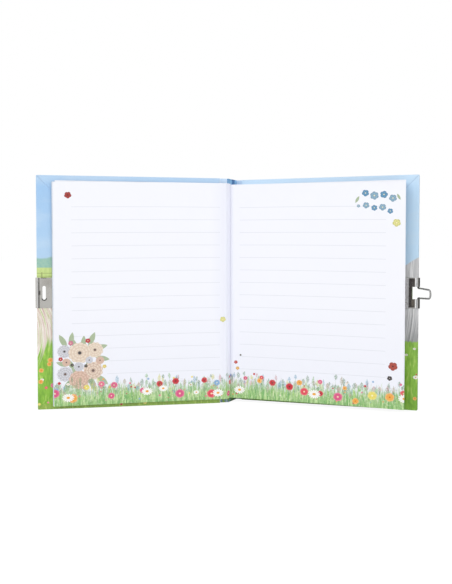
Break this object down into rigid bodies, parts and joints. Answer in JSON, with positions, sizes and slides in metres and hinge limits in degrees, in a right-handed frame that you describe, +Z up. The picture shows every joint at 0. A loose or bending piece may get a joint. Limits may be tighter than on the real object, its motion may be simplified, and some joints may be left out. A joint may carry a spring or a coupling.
{
  "type": "lockable diary",
  "caption": "Hardcover diary standing open in a V, with sewn ruled pages, a printed case, and a lock clasp made of a metal clip on each cover and a swinging wire bail.",
  "frame": {"origin": "on the ground, under the middle of the bounding box of the diary as it stands open", "axes": "+Z up along the spine. +X to the back cover's side, which is the reader's right. The reader looks from -Y, so the spine points to +Y."},
  "size_m": [0.3056, 0.0826, 0.185],
  "materials": {
    "cover_print": "glossy laminated print",
    "spine_print": "glossy laminated print",
    "board": "matt grey board",
    "page_paper": "matt",
    "kraft_lining": "matt",
    "gauze": "open weave, glued",
    "thread": "matt",
    "clasp_metal": "bright plated"
  },
  "bodies": {
    "text_block": {"spine_card": "board", "spine_cover_paper": "spine_print", "spine_lining": "kraft_lining", "spine_gauze": "gauze", "sewing_thread_1": "thread", "sewing_thread_2": "thread", "sewing_thread_3": "thread", "sewing_thread_4": "thread", "sewing_thread_5": "thread", "back_flyleaf": "page_paper", "section_2": "page_paper", "section_3": "page_paper", "section_4": "page_paper", "section_5": "page_paper", "section_6": "page_paper", "section_7": "page_paper", "turning_leaf_root": "page_paper"},
    "first_fold": {"first_section_fold": "page_paper"},
    "first_leaves": {"first_section": "page_paper", "front_flyleaf": "page_paper"},
    "front_cover": {"front_board": "board", "front_cover_paper": "cover_print", "front_pastedown": "page_paper", "front_clip": "clasp_metal", "front_groove_paper": "spine_print", "front_groove_lining": "gauze"},
    "leaf": {"turning_leaf": "page_paper"},
    "back_groove": {"back_groove_paper": "spine_print", "back_groove_lining": "gauze"},
    "back_cover": {"back_board": "board", "back_cover_paper": "cover_print", "back_pastedown": "page_paper", "back_clip": "clasp_metal"},
    "bail": {"wire_bail": "clasp_metal"}
  },
  "joints": [
    {"name": "front_opening", "type": "hinge", "parent": "text_block", "child": "front_cover", "pos_m": [-0.00178, 0.02262, 0.0925], "axis": [0, 0, -1], "range_deg": [-145.7, 1.4]},
    {"name": "first_fold_bend", "type": "hinge", "parent": "text_block", "child": "first_fold", "pos_m": [0.00174, 0.02445, 0.0925], "axis": [0, 0, -1], "range_deg": [-104.1, 1.1]},
    {"name": "first_leaves_bend", "type": "hinge", "parent": "first_fold", "child": "first_leaves", "pos_m": [-0.00233, 0.01876, 0.0925], "axis": [0, 0, -1], "range_deg": [-41.8, 0.5]},
    {"name": "leaf_turn", "type": "hinge", "parent": "text_block", "child": "leaf", "pos_m": [0.01353, 0.02108, 0.0925], "axis": [0, 0, -1], "range_deg": [0, 145]},
    {"name": "back_opening", "type": "hinge", "parent": "text_block", "child": "back_groove", "pos_m": [0.00555, 0.04112, 0.0925], "axis": [0, 0, 1], "range_deg": [0, 150]},
    {"name": "back_cover_fold", "type": "hinge", "parent": "back_groove", "child": "back_cover", "pos_m": [0.01094, 0.03899, 0.0925], "axis": [0, 0, 1], "range_deg": [0, 30]},
    {"name": "bail_swing", "type": "hinge", "parent": "back_cover", "child": "bail", "pos_m": [0.14795, -0.01618, 0.0925], "axis": [0, 0, 1], "range_deg": [-47.4, 213]}
  ],
  "couplings": [
    {"joint": "first_fold_bend", "follows": "front_opening", "ratio": 0.7138},
    {"joint": "first_leaves_bend", "follows": "front_opening", "ratio": 0.2862}
  ]
}
